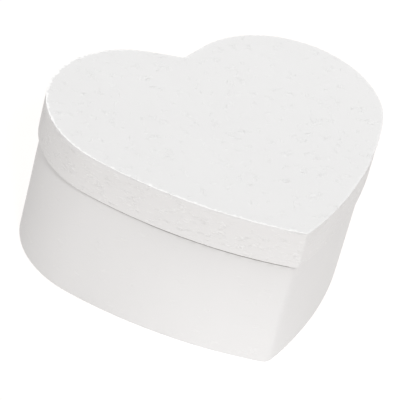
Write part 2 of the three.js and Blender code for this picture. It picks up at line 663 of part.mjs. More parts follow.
const onKeyAxis = [KEY_AXIS.x, KEY_AXIS.y, 0];
place(movement, "arbor_bush", [bush(), BRONZE], ...onKeyAxis);
const thinEnd = bar(ARBOR.r, ARBOR.z0, ARBOR.shoulder + 0.7);
const arbor = joined(thinEnd, bar(ARBOR.thick, ARBOR.shoulder, ARBOR.z1));
place(movement, "winding_arbor", [arbor, STEEL], ...onKeyAxis);
place(movement, "winding_key", [windingKey(), STEEL], ...onKeyAxis);
place(movement, "great_wheel", [greatWheel(), BRASS], ...onKeyAxis);
place(movement, "mainspring", [mainspring(), BLUED], ...onKeyAxis);
place(movement, "spring_housing", [springHousing(), ZINC], ...onKeyAxis);

const onDrumAxis = [0, DRUM_AXIS.y, DRUM_AXIS.z];
place(movement, "cylinder", [cylinder(), BRASS], ...onDrumAxis);
place(movement, "cylinder_cap_left", [plug(DRUM.x0 + PLUG.inset), NYLON], ...onDrumAxis);
place(movement, "cylinder_cap_right", [plug(DRUM.x1 - PLUG.inset - PLUG.t), NYLON], ...onDrumAxis);
const drumArbor = barX(ARBOR_R, DRUM_ARBOR.x0, DRUM_ARBOR.x1, 0, 0, 14);
place(movement, "cylinder_arbor", [drumArbor, STEEL], ...onDrumAxis);
place(movement, "cylinder_pinion", [drumPinion(), BRASS], ...onDrumAxis);
place(movement, "cylinder_gear", [drumGear(), BRASS], ...onDrumAxis);
const bushOutline = circle(DRUM_BUSH.r, 0, 0, 14);
const endBush = plateX(bushOutline, DRUM_BUSH.x0, DRUM_BUSH.x1, circle(ARBOR_R + SCREW_PLAY));
place(movement, "cylinder_bush", [endBush, BRONZE], ...onDrumAxis);
place(movement, "comb", [comb(), STEEL]);

const onSmallAxis = [0, SMALL_AXIS.y, SMALL_AXIS.z];
place(movement, "governor_frame", [governorFrame(), ZINC]);
place(movement, "intermediate_pinion", [smallPinion(), STEEL], ...onSmallAxis);
place(movement, "worm_wheel", [wormWheel(), NYLON], ...onSmallAxis);
place(movement, "worm_shaft", [wormShaft(), STEEL], WORM_AXIS.x, WORM_AXIS.y, SMALL_AXIS.z);
place(movement, "fan", [fan(), BRASS], WORM_AXIS.x, WORM_AXIS.y, 0);
place(movement, "end_cap", [endCap(), ZINC]);
place(movement, "stop_lever", [stopLever(), STEEL], STOP_POST.x, STOP_POST.y, 0);

// Each screw's name, size, length, places and the height of its seat.
const screws = [
  ["comb_screw", CASE_SCREW, 5.5, COMB_SCREWS, RAIL.top + COMB.t + 2 * SEAT_GAP],
  ["housing_screw", CASE_SCREW, 7.8, LEGS, HOUSING.z0 + HOUSING.earT + SEAT_GAP],
  ["governor_screw", SMALL_SCREW, 3, GOVERNOR_SCREWS, FRAME.z0 + FRAME.foot + SEAT_GAP],
  ["end_cap_screw", SMALL_SCREW, 1.6, [[CAP.screwX, CAP.y]], CAP.z0 + CAP.t + SEAT_GAP],
  ["stop_screw", SMALL_SCREW, 4.6, [[STOP_POST.x, STOP_POST.y]], LEVER.z0 + LEVER.t + SEAT_GAP],
];
for (const [name, size, length, places, z] of screws)
  places.forEach(([x, y], i) => {
    const label = places.length > 1 ? `${name}_${i + 1}` : name;
    place(movement, label, [screw(size, length), STEEL], x, y, z);
  });

// The screws that hold the movement come up through the floor, heads down.
const MOUNTING_SCREW_L = 5.6;
const underFloor = -FLOOR_T - 2 * SEAT_GAP;
FOOT_SCREWS.forEach(([x, y], i) => {
  const upward = screw(WOOD_SCREW, MOUNTING_SCREW_L).rotateX(Math.PI);
  place(movement, `mounting_screw_${i + 1}`, [upward, STEEL], x, y, underFloor);
});

export default root;
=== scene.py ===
"""A heart-shaped wind-up music box in white embossed paper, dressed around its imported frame.

The box is papier-mache board covered in paper, with a loose lid. Inside, on a raised floor,
stands a pinned-cylinder movement that is wound by a key in the recess underneath. Lengths are
in metres; Z is up, the heart's tip points to -Y and its cleft to +Y.
"""

from __future__ import annotations

import json
import logging
import math
from dataclasses import dataclass
from enum import Enum

import bpy
import numpy as np
from mathutils import Matrix, Vector

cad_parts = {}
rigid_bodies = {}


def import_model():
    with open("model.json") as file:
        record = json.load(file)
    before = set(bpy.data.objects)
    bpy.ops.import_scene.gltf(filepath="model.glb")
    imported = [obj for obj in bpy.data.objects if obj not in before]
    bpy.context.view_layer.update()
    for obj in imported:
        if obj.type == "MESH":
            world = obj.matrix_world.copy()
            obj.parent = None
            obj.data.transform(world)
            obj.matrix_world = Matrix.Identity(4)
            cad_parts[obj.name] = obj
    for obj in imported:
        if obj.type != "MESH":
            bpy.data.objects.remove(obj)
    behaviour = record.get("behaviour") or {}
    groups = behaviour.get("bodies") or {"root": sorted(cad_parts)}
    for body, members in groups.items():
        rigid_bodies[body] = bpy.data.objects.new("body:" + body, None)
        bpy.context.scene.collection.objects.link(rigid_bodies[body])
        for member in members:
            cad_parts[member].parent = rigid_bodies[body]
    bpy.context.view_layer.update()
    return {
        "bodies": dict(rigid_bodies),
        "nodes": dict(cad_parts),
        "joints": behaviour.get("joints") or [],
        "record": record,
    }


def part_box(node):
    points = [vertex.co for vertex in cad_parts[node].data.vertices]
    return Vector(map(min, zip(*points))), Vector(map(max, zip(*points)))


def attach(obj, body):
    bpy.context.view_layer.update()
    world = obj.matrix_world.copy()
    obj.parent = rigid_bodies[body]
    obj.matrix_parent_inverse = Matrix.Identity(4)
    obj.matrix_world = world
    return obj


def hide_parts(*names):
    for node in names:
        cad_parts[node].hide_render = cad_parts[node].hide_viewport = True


LOG = logging.getLogger("music_box")
MM = 0.001
Colour = tuple[float, float, float]

# The box's usual width and height, which set the scale of its slow ripples.
BOX_WIDTH = 150 * MM
BOX_HEIGHT = 71 * MM

# Half-widths of the paper's ridges and fibres, as parts of their noise's whole swing.
RIDGE_WIDTH = 0.085
FIBRE_WIDTH = 0.018

# The white of the painted highlight along the ragged top edge, the grey of the painted shadow line and
# shade on the base below the lid's rim, and how much clouds change a paper's tone.
EDGE_HIGHLIGHT_WHITE = (0.98, 0.98, 0.98)
RIM_SHADOW_GREY = (0.22, 0.2, 0.19)
CLOUD_SHARE = 0.25


# ---------------------------------------------------------------- shader building


@dataclass(frozen=True)
class Mottle:
    """A noise of some cells a metre, and the part of its swing that is stretched to 0 to 1."""

    cells: float
    detail: float = 3.0
    warp: float = 0.0
    low: float = 0.3
    high: float = 0.7


PAPER_CLOUDS = Mottle(28.0)
BOARD_CLOUDS = Mottle(60.0)
BOARD_FLECKS = Mottle(1500.0, 0.0, 2.0, 0.68, 0.73)
NYLON_CLOUDS = Mottle(350.0)
TABLE_CLOUDS = Mottle(3.0, 2.0, 0.0, 0.2, 0.8)
DULL_PATCHES = Mottle(140.0, 4.0, 0.6, 0.36, 0.68)
PITS = Mottle(1900.0, 1.0, 0.0, 0.66, 0.74)
# Its cells are counted in the ridges' own spacing instead of metres.
FIBRE_PLACES = Mottle(0.25, 1.0, 0.0, 0.56, 0.66)

# Cells a metre of the board's pulp, the metal's grain and the nylon's skin.
BOARD_PULP = 900.0
METAL_GRAIN = 9000.0
NYLON_SKIN = 2600.0

# How the paper's noises are drawn out: level for the ridges, on a slant for the fibres.
RIDGE_STRETCH = (0.8, 0.8, 2.3)
FIBRE_TURN = (0.5, 0.35, 0.8)
FIBRE_STRETCH = (0.15, 1.7, 1.7)


class NodeSheet:
    """Adds nodes to one tree, with their values and links given in one call."""

    def __init__(self, tree: bpy.types.NodeTree) -> None:
        """Keeps the tree that the nodes go into."""
        self.tree = tree

    def add(self, kind: str, values: dict | None = None, **settings: object) -> bpy.types.Node:
        """Makes one node.

        Args:
            kind: The node's type, without its "ShaderNode" prefix where it has one.
            values: Input name or index to a number, a colour or an output socket to link.
            **settings: The node's own properties.

        Returns:
            The node.
        """
        full = kind if kind.startswith("Node") else f"ShaderNode{kind}"
        node = self.tree.nodes.new(full)
        for name, value in settings.items():
            setattr(node, name, value)
        self.feed(node, values or {})
        return node

    def feed(self, node: bpy.types.Node, values: dict) -> None:
        """Sets or links a node's inputs.

        Args:
            node: The node.
            values: Input name or index to a number, a colour or an output socket to link.
        """
        for key, value in values.items():
            socket = node.inputs[key]
            if isinstance(value, bpy.types.NodeSocket):
                self.tree.links.new(value, socket)
            elif socket.type == "RGBA" and len(value) == 3:
                socket.default_value = (*value, 1.0)
            else:
                socket.default_value = value

    def math(self, operation: str, *values: object) -> bpy.types.NodeSocket:
        """Joins up to three values, or sockets, with one sum and returns its output."""
        return self.add("Math", dict(enumerate(values)), operation=operation).outputs[0]

    def blend(self, factor: object, a: object, b: object, kind: str = "MIX") -> bpy.types.NodeSocket:
        """Mixes colour a with colour b by factor and returns the colour."""
        mixed = self.add("Mix", {0: factor, 6: a, 7: b}, data_type="RGBA", blend_type=kind)
        return mixed.outputs[2]

    def ramp(self, value: object, low: float, high: float) -> bpy.types.NodeSocket:
        """Stretches value so that low becomes 0 and high becomes 1, and returns it clamped."""
        values = {"Value": value, "From Min": low, "From Max": high}
        return self.add("MapRange", values, clamp=True).outputs[0]

    def noise(
        self, where: object, scale: float, detail: float = 2.0, warp: float = 0.0
    ) -> bpy.types.NodeSocket:
        """Returns the value of a noise of that many cells a metre."""
        values = {"Vector": where, "Scale": scale, "Detail": detail, "Distortion": warp}
        return self.add("TexNoise", values).outputs[0]

    def mottle(self, where: object, kind: Mottle) -> bpy.types.NodeSocket:
        """Returns a stretched noise from 0 to 1."""
        return self.ramp(self.noise(where, kind.cells, kind.detail, kind.warp), kind.low, kind.high)


def shader_group(name: str, inputs: dict[str, float], outputs: tuple[str, ...]) -> tuple:
    """Starts a shader node group that works on a position.

    Args:
        name: The group's name.
        inputs: Its number inputs and their usual values, after a Vector input.
        outputs: The names of its number outputs.

    Returns:
        The group, its NodeSheet, its input node and its output node.
    """
    group = bpy.data.node_groups.new(name, "ShaderNodeTree")
    group.interface.new_socket("Vector", in_out="INPUT", socket_type="NodeSocketVector")
    for key, value in inputs.items():
        socket = group.interface.new_socket(key, in_out="INPUT", socket_type="NodeSocketFloat")
        socket.default_value = value
    for key in outputs:
        group.interface.new_socket(key, in_out="OUTPUT", socket_type="NodeSocketFloat")
    sheet = NodeSheet(group)
    return group, sheet, sheet.add("NodeGroupInput"), sheet.add("NodeGroupOutput")


def crests(sheet: NodeSheet, noise: object, width: float) -> bpy.types.NodeSocket:
    """Returns thin winding lines: 1 where a noise crosses its middle, 0 a width away from it."""
    return sheet.ramp(sheet.math("ABSOLUTE", sheet.math("SUBTRACT", noise, 0.5)), width, 0.0)


def build_paper_group() -> bpy.types.NodeTree:
    """Crinkled, fibrous paper: short worm-like ridges, a felt-like tooth and a few long fibres.

    The ridges are the zero lines of a noise that is drawn out level, kept only where a larger
    noise is high; Cover says how much of the sheet that is. The long fibres are the zero lines
    of a second stretched noise, kept in a few places.

    Returns:
        The group, whose outputs are Height and Shade, both from 0 to 1. The materials paint Shade into the
        colour, lighter on the ridges and darker in the hollows, as painted highlight and painted shade.
    """
    inputs = {"Ridges per Metre": 330.0, "Cover": 0.5, "Tooth": 0.1, "Fibres": 0.1}
    group, sheet, source, sink = shader_group("crinkled_paper", inputs, ("Height", "Shade"))
    size = {0: source.outputs["Vector"], "Scale": source.outputs["Ridges per Metre"]}
    where = sheet.add("VectorMath", size, operation="SCALE").outputs[0]
    flat = sheet.add("Mapping", {"Vector": where, "Scale": RIDGE_STRETCH}).outputs[0]
    ridge = crests(sheet, sheet.noise(flat, 1.0, 1.0, 0.6), RIDGE_WIDTH)
    patch = sheet.math("ADD", sheet.noise(flat, 0.55, 2.0), source.outputs["Cover"])
    ridges = sheet.math("MULTIPLY", ridge, sheet.ramp(patch, 1.0, 1.1))
    tooth = sheet.math("MULTIPLY", sheet.noise(where, 7.0, 3.0), source.outputs["Tooth"])
    slant = sheet.add("Mapping", {"Vector": where, "Rotation": FIBRE_TURN, "Scale": FIBRE_STRETCH})
    fibre = crests(sheet, sheet.noise(slant.outputs[0], 0.8, 0.5, 1.3), FIBRE_WIDTH)
    sparse = sheet.mottle(where, FIBRE_PLACES)
    fibres = sheet.math("MULTIPLY", sheet.math("MULTIPLY", fibre, sparse), source.outputs["Fibres"])
    height = sheet.math("ADD", sheet.math("ADD", ridges, fibres), tooth)
    sheet.feed(sink, {"Height": height, "Shade": sheet.ramp(height, 0.0, 1.0)})
    return group


def build_patina_group() -> bpy.types.NodeTree:
    """Handled metal: broad dull patches, fine grain drawn out along X, and small dark pits.

    Returns:
        The group, whose outputs are Patch, Grain and Pit, all from 0 to 1.
    """
    inputs = {"Grain Stretch": 0.05}
    group, sheet, source, sink = shader_group("handled_metal", inputs, ("Patch", "Grain", "Pit"))
    where = source.outputs["Vector"]
    patch = sheet.mottle(where, DULL_PATCHES)
    parts = sheet.add("SeparateXYZ", {0: where})
    along = sheet.math("MULTIPLY", parts.outputs[0], source.outputs["Grain Stretch"])
    drawn = sheet.add("CombineXYZ", {0: along, 1: parts.outputs[1], 2: parts.outputs[2]})
    grain = sheet.noise(drawn.outputs[0], METAL_GRAIN, 3.0)
    pit = sheet.mottle(where, PITS)
    sheet.feed(sink, {"Patch": patch, "Grain": grain, "Pit": pit})
    return group


def new_material(name: str) -> tuple[bpy.types.Material, NodeSheet, bpy.types.Node]:
    """Starts a node material.

    Returns:
        The material, its NodeSheet and its Principled BSDF.
    """
    material = bpy.data.materials.new(name)
    material.use_nodes = True
    return material, NodeSheet(material.node_tree), material.node_tree.nodes["Principled BSDF"]


@dataclass(frozen=True)
class PaperFinish:
    """White embossed paper.

    The ridges stand proud as bump and are painted a shade lighter than the hollows between them,
    as painted highlight and painted shade on the relief. An "edge" attribute from 0 to 1 paints a
    white highlight along the ragged top edge, and a second attribute paints a shadow line and
    shade on the base's paper below the lid's rim.
    """

    name: str
    light: Colour
    dark: Colour
    ridges_per_metre: float = 330.0
    cover: float = 0.5
    relief: float = 0.0002
    tooth: float = 0.1
    fibres: float = 0.1
    roughness: float = 0.86

    def build(self, groups: dict[str, bpy.types.NodeTree]) -> bpy.types.Material:
        """Makes the material from the shared groups."""
        material, sheet, shader = new_material(self.name)
        place = sheet.add("TexCoord").outputs["Object"]
        values = {
            "Vector": place,
            "Ridges per Metre": self.ridges_per_metre,
            "Cover": self.cover,
            "Tooth": self.tooth,
            "Fibres": self.fibres,
        }
        paper = sheet.add("Group", values, node_tree=groups["paper"])
        shade, height = paper.outputs["Shade"], paper.outputs["Height"]
        clouds = sheet.math("MULTIPLY", sheet.mottle(place, PAPER_CLOUDS), CLOUD_SHARE)
        tone = sheet.math("MULTIPLY_ADD", shade, 1 - CLOUD_SHARE, clouds)
        # Painted highlight and shade: the relief's height lightens the ridges and darkens the hollows.
        face = sheet.blend(tone, self.dark, self.light)
        # Painted highlight: the edge attribute whitens the ragged top edge, mostly round the left lobe and
        # flank.
        highlight = sheet.add("Attribute", attribute_name="edge").outputs["Fac"]
        highlighted = sheet.blend(highlight, face, EDGE_HIGHLIGHT_WHITE)
        # Painted shadow and shade: a dark line and a fainter band on the base's paper just below the lid's
        # rim.
        rim_shadow = sheet.add("Attribute", attribute_name="rim_shadow").outputs["Fac"]
        bump = sheet.add("Bump", {"Strength": 1.0, "Distance": self.relief, "Height": height})
        looks = {
            "Base Color": sheet.blend(rim_shadow, highlighted, RIM_SHADOW_GREY),
            "Normal": bump.outputs[0],
            "Roughness": sheet.math("MULTIPLY_ADD", shade, -0.1, self.roughness + 0.05),
            "Specular IOR Level": 0.25,
            "Sheen Weight": 0.08,
            "Sheen Roughness": 0.6,
        }
        sheet.feed(shader, looks)
        return material


@dataclass(frozen=True)
class BoardFinish:
    """Pale papier-mache board: a pressed pulp with grey and tan flecks."""

    name: str
    light: Colour
    dark: Colour
    fleck: Colour
    fleck_strength: float = 0.6
    relief: float = 0.00012

    def build(self, groups: dict[str, bpy.types.NodeTree]) -> bpy.types.Material:
        """Makes the material; it shares no group."""
        material, sheet, shader = new_material(self.name)
        place = sheet.add("TexCoord").outputs["Object"]
        pulp = sheet.noise(place, BOARD_PULP, 6.0, 0.4)
        base = sheet.blend(sheet.mottle(place, BOARD_CLOUDS), self.dark, self.light)
        flecks = sheet.math("MULTIPLY", sheet.mottle(place, BOARD_FLECKS), self.fleck_strength)
        colour = sheet.blend(flecks, base, self.fleck)
        bump = sheet.add("Bump", {"Strength": 0.8, "Distance": self.relief, "Height": pulp})
        looks = {
            "Base Color": colour,
            "Normal": bump.outputs[0],
            "Roughness": sheet.math("MULTIPLY_ADD", pulp, 0.1, 0.85),
            "Specular IOR Level": 0.2,
        }
        sheet.feed(shader, looks)
        return material


@dataclass(frozen=True)
class MetalFinish:
    """Bare metal with drawn grain, dull patches and pits."""

    name: str
    bright: Colour
    dull: Colour
    roughness: float
    grain_depth: float = 0.000004
    grain_stretch: float = 0.05
    pitted: float = 0.5
    pit_tone: float = 0.35

    def build(self, groups: dict[str, bpy.types.NodeTree]) -> bpy.types.Material:
        """Makes the material from the shared groups."""
        material, sheet, shader = new_material(self.name)
        place = sheet.add("TexCoord").outputs["Object"]
        values = {"Vector": place, "Grain Stretch": self.grain_stretch}
        metal = sheet.add("Group", values, node_tree=groups["metal"])
        patch, grain = metal.outputs["Patch"], metal.outputs["Grain"]
        face = sheet.blend(patch, self.bright, self.dull)
        dark = tuple(self.pit_tone * part for part in self.dull)
        pits = sheet.math("MULTIPLY", metal.outputs["Pit"], self.pitted)
        spread = sheet.math("MULTIPLY", patch, 0.14)
        streak = sheet.math("MULTIPLY", grain, 0.12)
        bump = sheet.add("Bump", {"Strength": 1.0, "Distance": self.grain_depth, "Height": grain})
        looks = {
            "Base Color": sheet.blend(pits, face, dark),
            "Normal": bump.outputs[0],
            "Roughness": sheet.math("ADD", sheet.math("ADD", spread, streak), self.roughness - 0.08),
            "Metallic": 1.0,
        }
        sheet.feed(shader, looks)
        return material


@dataclass(frozen=True)
class NylonFinish:
    """Moulded natural nylon: milky, faintly mottled, with a soft sheen."""

    name: str
    light: Colour
    dark: Colour
    relief: float = 0.00003

    def build(self, groups: dict[str, bpy.types.NodeTree]) -> bpy.types.Material:
        """Makes the material; it shares no group."""
        material, sheet, shader = new_material(self.name)
        place = sheet.add("TexCoord").outputs["Object"]
        skin = sheet.noise(place, NYLON_SKIN)
        bump = sheet.add("Bump", {"Strength": 0.4, "Distance": self.relief, "Height": skin})
        looks = {
            "Base Color": sheet.blend(sheet.mottle(place, NYLON_CLOUDS), self.dark, self.light),
            "Normal": bump.outputs[0],
            "Roughness": sheet.math("MULTIPLY_ADD", skin, 0.15, 0.35),
            "Subsurface Weight": 0.15,
            "Subsurface Radius": (0.002, 0.0018, 0.0015),
        }
        sheet.feed(shader, looks)
        return material


class Finish(Enum):
    """The finishes of the whole music box, each with its recipe."""

    TOP_PAPER = PaperFinish(
        "top_paper",
        (0.85, 0.85, 0.85),
        (0.806, 0.806, 0.806),
        ridges_per_metre=560.0,
        cover=0.465,
        relief=0.00013,
    )
    RIM_PAPER = PaperFinish(
        "rim_paper",
        (0.895, 0.889, 0.887),
        (0.79, 0.782, 0.781),
        ridges_per_metre=430.0,
        cover=0.52,
        relief=0.00011,
    )
    WALL_PAPER = PaperFinish(
        "wall_paper", (0.838, 0.832, 0.832), (0.792, 0.786, 0.786), cover=0.4, relief=0.00009
    )
    LINING = PaperFinish(
        "lining_paper",
        (0.88, 0.875, 0.86),
        (0.82, 0.81, 0.795),
        ridges_per_metre=220.0,
        cover=0.42,
        relief=0.0001,
        fibres=0.3,
    )
    BOARD = BoardFinish("mache_board", (0.8, 0.77, 0.71), (0.69, 0.66, 0.6), (0.36, 0.31, 0.25))
    ZINC = MetalFinish("zinc_casting", (0.62, 0.63, 0.65), (0.47, 0.48, 0.5), 0.42, grain_stretch=1.0)
    STEEL = MetalFinish("bright_steel", (0.72, 0.73, 0.75), (0.58, 0.58, 0.6), 0.24, pitted=0.3)
    BRASS = MetalFinish("turned_brass", (0.86, 0.66, 0.3), (0.68, 0.48, 0.2), 0.24)
    BRONZE = MetalFinish("bearing_bronze", (0.66, 0.4, 0.2), (0.45, 0.26, 0.13), 0.34)
    BLUED = MetalFinish("blued_spring", (0.12, 0.17, 0.3), (0.2, 0.2, 0.26), 0.26)
    NYLON = NylonFinish("natural_nylon", (0.86, 0.84, 0.77), (0.77, 0.75, 0.67))


class Workshop:
    """Keeps the shared shader groups and each finish's material once made."""

    def __init__(self) -> None:
        """Builds the shared groups."""
        self.groups = {"paper": build_paper_group(), "metal": build_patina_group()}
        self.materials: dict[Finish, bpy.types.Material] = {}

    def material(self, finish: Finish) -> bpy.types.Material:
        """Returns the finish's material, making it the first time."""
        if finish not in self.materials:
            self.materials[finish] = finish.value.build(self.groups)
        return self.materials[finish]


# ---------------------------------------------------------------- surfaces


def grid_faces(rows: int, columns: int, closed_rows: bool) -> np.ndarray:
    """Quads between the points of a grid whose columns close on themselves.

    Args:
        rows: The number of rings.
        columns: The points in each ring.
        closed_rows: Whether the last ring joins the first.

    Returns:
        An array of four vertex numbers a face, row by row.
    """
    i = np.arange(rows if closed_rows else rows - 1)[:, None]
    j = np.arange(columns)[None, :]
    down, over = (i + 1) % rows, (j + 1) % columns
    corners = (i * columns + j, i * columns + over, down * columns + over, down * columns + j)
    return np.stack(corners, -1).reshape(-1, 4)


def mesh_object(
    name: str, points: np.ndarray, quads: np.ndarray, fans: np.ndarray | None = None
) -> bpy.types.Object:
    """Makes a smooth mesh object at the origin.

    Args:
        name: The piece's name.
        points: The vertices, three numbers a row.
        quads: Four vertex numbers a row.
        fans: Three vertex numbers a row, for the caps.

    Returns:
        The object, linked to the scene.
    """
    triangles = np.zeros((0, 3), int) if fans is None else fans
    mesh = bpy.data.meshes.new(name)
    mesh.vertices.add(len(points))
    mesh.vertices.foreach_set("co", points.astype(np.float32).ravel())
    corners = np.concatenate([quads.ravel(), triangles.ravel()]).astype(np.int32)
    mesh.loops.add(len(corners))
    mesh.loops.foreach_set("vertex_index", corners)
    starts = np.concatenate([4 * np.arange(len(quads)), quads.size + 3 * np.arange(len(triangles))])
    mesh.polygons.add(len(starts))
    mesh.polygons.foreach_set("loop_start", starts.astype(np.int32))
    mesh.polygons.foreach_set("use_smooth", np.ones(len(starts), bool))
    mesh.update(calc_edges=True)
    mesh.validate()
    made = bpy.data.objects.new(name, mesh)
    bpy.context.scene.collection.objects.link(made)
    return made


def mark(made: bpy.types.Object, name: str, strength: np.ndarray) -> None:
    """Keeps a number for each vertex, which the paper's material reads."""
    attribute = made.data.attributes.new(name, "FLOAT", "POINT")
    attribute.data.foreach_set("value", strength.astype(np.float32))


def waves(
    s: np.ndarray,
    t: np.ndarray | float,
    seed: int,
    turns: tuple[int, int],
    rise: tuple[float, float] = (0.0, 0.0),
) -> np.ndarray:
    """A smooth, seeded ripple between about -1 and 1, made of twelve crossed sine waves.

    Args:
        s: The way round the outline, from 0 to 1; the ripple closes on itself.
        t: The second coordinate.
        seed: Picks the waves.
        turns: The lowest and highest whole number of waves round the outline.
        rise: The lowest and highest number of waves for each unit of t.

    Returns:
        The ripple at each point.
    """
    draw = np.random.default_rng(seed)
    total = np.zeros(np.broadcast(s, t).shape)
    for _ in range(12):
        k = draw.integers(turns[0], turns[1] + 1)
        m = draw.uniform(rise[0], rise[1]) * draw.choice([-1.0, 1.0])
        total += np.sin(2 * np.pi * (k * s + m * t + draw.uniform()))
    return total / 4.5


@dataclass(frozen=True)
class HeartPlan:
    """The heart seen from above: two round lobes, two long bowed flanks and a straight-sided cleft.

    Its stretches match the outside of the base's board; offset grows them all outwards.
    """

    lobe_x: float = 31.6 * MM
    lobe_r: float = 41.7 * MM
    flank_r: float = 184.2 * MM
    flank_angle: float = math.radians(-34)
    cleft_angle: float = math.radians(115.7)
    spacing: float = 0.62 * MM
    shift_y: float = 20.722 * MM
    counts: tuple[int, int, int] = (24, 174, 142)

    def half(self, offset: float) -> np.ndarray:
        """The right side from the cleft to the tip, both ends included.

        The shoulder is a straight run tangent to the lobe, the lobe is an arc, and the flank is
        an arc of a much larger circle that meets the lobe without a corner.
        """
        r = self.lobe_r + offset
        shoulder, lobe, flank = self.counts
        a = np.linspace(self.cleft_angle, self.flank_angle, lobe + 1)
        arc = np.stack([self.lobe_x + r * np.cos(a), r * np.sin(a)], -1)
        run = arc[0, 0] / math.sin(self.cleft_angle)
        cleft = np.array([0.0, arc[0, 1] + run * math.cos(self.cleft_angle)])
        straight = cleft + np.linspace(0, 1, shoulder + 1)[:-1, None] * (arc[0] - cleft)
        reach = self.lobe_r - self.flank_r
        towards = np.array([math.cos(self.flank_angle), math.sin(self.flank_angle)])
        centre = np.array([self.lobe_x, 0.0]) + reach * towards
        last = -math.acos(-centre[0] / (self.flank_r + offset))
        b = np.linspace(self.flank_angle, last, flank + 1)[1:]
        bow = centre + (self.flank_r + offset) * np.stack([np.cos(b), np.sin(b)], -1)
        return np.concatenate([straight, arc, bow])

    def outline(self, offset: float, soften: float) -> np.ndarray:
        """The closed outline, anticlockwise from the tip.

        Args:
            offset: How far outside the base's board it runs.
            soften: The spread of the running average that rounds the tip and the cleft.

        Returns:
            Two numbers a point.
        """
        right = self.half(offset)[::-1]
        left = right[1:-1][::-1] * [-1.0, 1.0]
        loop = np.concatenate([right, left])
        wave = np.fft.fft(loop[:, 0] + 1j * loop[:, 1])
        turn = 2 * np.pi * np.fft.fftfreq(len(loop))
        wave *= np.exp(-0.5 * (turn * soften / self.spacing) ** 2)
        smooth = np.fft.ifft(wave)
        return np.stack([smooth.real, smooth.imag + self.shift_y], -1)


def rounded_section(
    outer: float, inner: float, low: float, high: float, radius: float, rows: int = 2
) -> np.ndarray:
    """A wall's section with rounded corners, as a closed loop of (offset, height).

    Args:
        outer: The outer face's offset.
        inner: The inner face's offset.
        low: The lower edge's height.
        high: The upper edge's height.
        radius: The corners' radius.
        rows: Points along each long face besides its ends.

    Returns:
        The loop, going up the outer face and down the inner one.
    """
    r = min(radius, 0.49 * (outer - inner))
    turn = np.linspace(0, np.pi / 2, 4)
    x = (outer - r, outer - r, inner + r, inner + r)
    z = (low + r, high - r, high - r, low + r)
    corners = []
    for corner, start in enumerate((-0.5, 0.0, 0.5, 1.0)):
        a = turn + start * np.pi
        corners.append(np.stack([x[corner] + r * np.cos(a), z[corner] + r * np.sin(a)], -1))
    up = np.linspace(corners[0][-1], corners[1][0], rows + 2)[1:-1]
    down = np.linspace(corners[2][-1], corners[3][0], rows + 2)[1:-1]
    return np.concatenate([corners[0], up, corners[1], corners[2], down, corners[3]])


@dataclass
class HeartShell:
    """A closed band that follows the heart's outline with a given section."""

    plan: HeartPlan
    name: str
    section: np.ndarray
    soften: float
    ripple: float = 0.0
    ripple_seed: int = 1
    ragged: float = 0.0
    ragged_height: float = 0.0
    ragged_reach: float = 1.2 * MM
    ripple_turns: tuple[int, int] = (3, 14)
    ripple_rise: tuple[float, float] = (0.2, 2.5)

    def build(self) -> bpy.types.Object:
        """Sweeps the section round the outline.

        Each point of the section gives one ring at its own offset and height. A slow ripple
        moves whole stretches of the wall in and out, and a ragged edge lifts and lowers the
        rings nearest to ragged_height.

        Returns:
            The piece.
        """
        rings = np.stack([self.plan.outline(offset, self.soften) for offset, _ in self.section])
        rows, columns = rings.shape[:2]
        s = np.arange(columns)[None, :] / columns
        z = np.repeat(self.section[:, 1:2], columns, 1)
        along = np.roll(rings, -1, 1) - np.roll(rings, 1, 1)
        normal = np.stack([along[..., 1], -along[..., 0]], -1)
        normal /= np.linalg.norm(normal, axis=-1, keepdims=True)
        slow = waves(s, z / BOX_HEIGHT, self.ripple_seed, self.ripple_turns, self.ripple_rise)
        push = self.ripple * slow
        rings = rings + normal * push[..., None]
        if self.ragged:
            near = np.exp(-(((z - self.ragged_height) / self.ragged_reach) ** 2))
            fray = waves(s, 0.0, self.ripple_seed + 5, (60, 240))
            fray = fray + 0.6 * waves(s, 0.0, self.ripple_seed + 6, (4, 18))
            z = z + self.ragged * near * fray
        points = np.concatenate([rings, z[..., None]], -1).reshape(-1, 3)
        return mesh_object(self.name, points, grid_faces(rows, columns, True))


